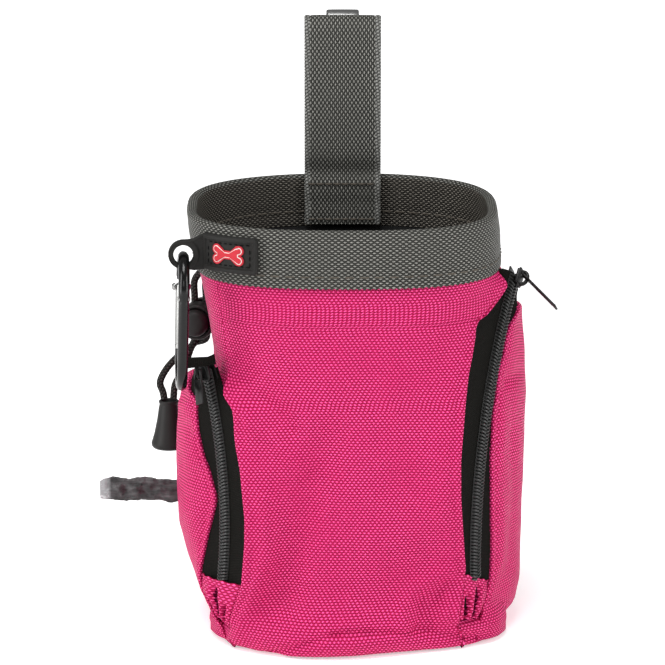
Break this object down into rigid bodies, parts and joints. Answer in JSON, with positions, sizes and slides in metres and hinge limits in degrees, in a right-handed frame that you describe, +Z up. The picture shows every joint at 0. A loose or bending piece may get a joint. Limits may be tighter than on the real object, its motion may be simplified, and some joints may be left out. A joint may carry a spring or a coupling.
{
  "type": "treat pouch",
  "caption": "Soft drawstring pouch for dog treats with a bound mouth, belt loop and clip, zipped side pockets, carabiner, cord lock and waste-bag roll.",
  "frame": {"origin": "middle of the flat underside of the base, which is the plane the pouch stands on", "axes": "+Z up, the front faces -Y, the wearer's belt is at +Y, +X is the side with the long zip"},
  "size_m": [0.144, 0.1003, 0.1893],
  "materials": {
    "pink_nylon": "woven ballistic nylon, basket weave with a soft sheen",
    "grey_webbing": "grey polypropylene webbing",
    "black_cloth": "black woven polyester",
    "black_lacquer": "gloss black lacquer",
    "black_plastic": "matte black moulding",
    "bright_steel": "bright plated steel",
    "black_rubber": "matte black rubber",
    "red_rubber": "raised red rubber",
    "waste_film": "thin crinkled plastic film",
    "card": "rolled card",
    "spring_steel": "bare spring wire"
  },
  "bodies": {
    "pouch": {"base_panel": "pink_nylon", "belt_clip": "bright_steel", "belt_strap": "grey_webbing", "clip_rivet_lower": "bright_steel", "clip_rivet_upper": "bright_steel", "cord_end_bell": "black_plastic", "drawstring_grommet": "black_lacquer", "drawstring_run": "black_cloth", "drawstring_tail_left": "black_cloth", "drawstring_tail_right": "black_cloth", "eyelet_patch": "black_rubber", "left_pocket_panel": "pink_nylon", "left_zip_coil_inner": "black_plastic", "left_zip_coil_outer": "black_plastic", "left_zip_end_tab": "pink_nylon", "left_zip_tape_inner": "black_cloth", "left_zip_tape_outer": "black_cloth", "lining": "black_cloth", "outer_wall": "pink_nylon", "patch_emblem": "red_rubber", "right_pocket_panel": "pink_nylon", "right_zip_coil_inner": "black_plastic", "right_zip_coil_outer": "black_plastic", "right_zip_end_tab": "pink_nylon", "right_zip_tape_inner": "black_cloth", "right_zip_tape_outer": "black_cloth", "rim_binding": "grey_webbing", "waste_bag_grommet": "black_lacquer"},
    "carabiner": {"carabiner_body": "black_lacquer"},
    "gate": {"carabiner_gate": "bright_steel", "gate_pin": "bright_steel", "gate_spring": "spring_steel"},
    "left_slider": {"left_zip_slider": "black_lacquer"},
    "left_puller": {"left_zip_puller": "black_lacquer"},
    "right_slider": {"right_zip_slider": "black_lacquer"},
    "right_puller": {"right_zip_puller": "black_lacquer"},
    "cord_lock": {"cord_lock_body": "black_plastic", "cord_lock_spring": "spring_steel"},
    "lock_button": {"cord_lock_button": "black_plastic"},
    "waste_tail": {"waste_bag_tail": "waste_film"},
    "waste_roll": {"waste_bag_roll": "waste_film", "waste_bag_core": "card"}
  },
  "joints": [
    {"name": "carabiner_swing", "type": "hinge", "parent": "pouch", "child": "carabiner", "pos_m": [-0.0496, -0.0339, 0.122], "axis": [-0.0837, 0.9965, 0], "range_deg": [0, 80]},
    {"name": "gate_pivot", "type": "hinge", "parent": "carabiner", "child": "gate", "pos_m": [-0.05068, -0.02446, 0.1109], "axis": [-0.9962, -0.0836, 0.0262], "range_deg": [0, 30], "stiffness_Nm_per_rad": 0.03, "springref_deg": -17.19},
    {"name": "left_zip", "type": "hinge", "parent": "pouch", "child": "left_slider", "pos_m": [-0.13342, 0.06562, 0.03934], "axis": [0.7256, 0.6881, 0.0005], "range_deg": [0, 24]},
    {"name": "left_puller_hinge", "type": "hinge", "parent": "left_slider", "child": "left_puller", "pos_m": [-0.04519, -0.03305, 0.086], "axis": [-0.6488, 0.6844, -0.3326], "range_deg": [-8, 12]},
    {"name": "right_zip", "type": "hinge", "parent": "pouch", "child": "right_slider", "pos_m": [0.08909, 0.07542, 0.03716], "axis": [0.9145, -0.4035, -0.0294], "range_deg": [0, 41]},
    {"name": "right_puller_hinge", "type": "hinge", "parent": "right_slider", "child": "right_puller", "pos_m": [0.05512, -0.01655, 0.11189], "axis": [-0.3042, -0.7338, 0.6074], "range_deg": [0, 60]},
    {"name": "cord_lock_slide", "type": "slide", "parent": "pouch", "child": "cord_lock", "axis": [0, 0, 1], "range_m": [0, 0.006]},
    {"name": "lock_button_press", "type": "slide", "parent": "cord_lock", "child": "lock_button", "axis": [0.1736, 0.9848, 0], "range_m": [0, 0.002], "stiffness_N_per_m": 300, "springref_m": -0.002, "deforming": ["cord_lock_spring"]},
    {"name": "waste_tail_pull", "type": "slide", "parent": "pouch", "child": "waste_tail", "axis": [-1, 0, 0], "range_m": [0, 0.012]},
    {"name": "waste_roll_spin", "type": "hinge", "parent": "pouch", "child": "waste_roll", "pos_m": [-0.0356, 0.002, 0.04325], "axis": [0, 0, 1], "range_deg": [0, 60]}
  ],
  "couplings": [
    {"joint": "waste_roll_spin", "follows": "waste_tail_pull", "rad_per_m": 80}
  ]
}
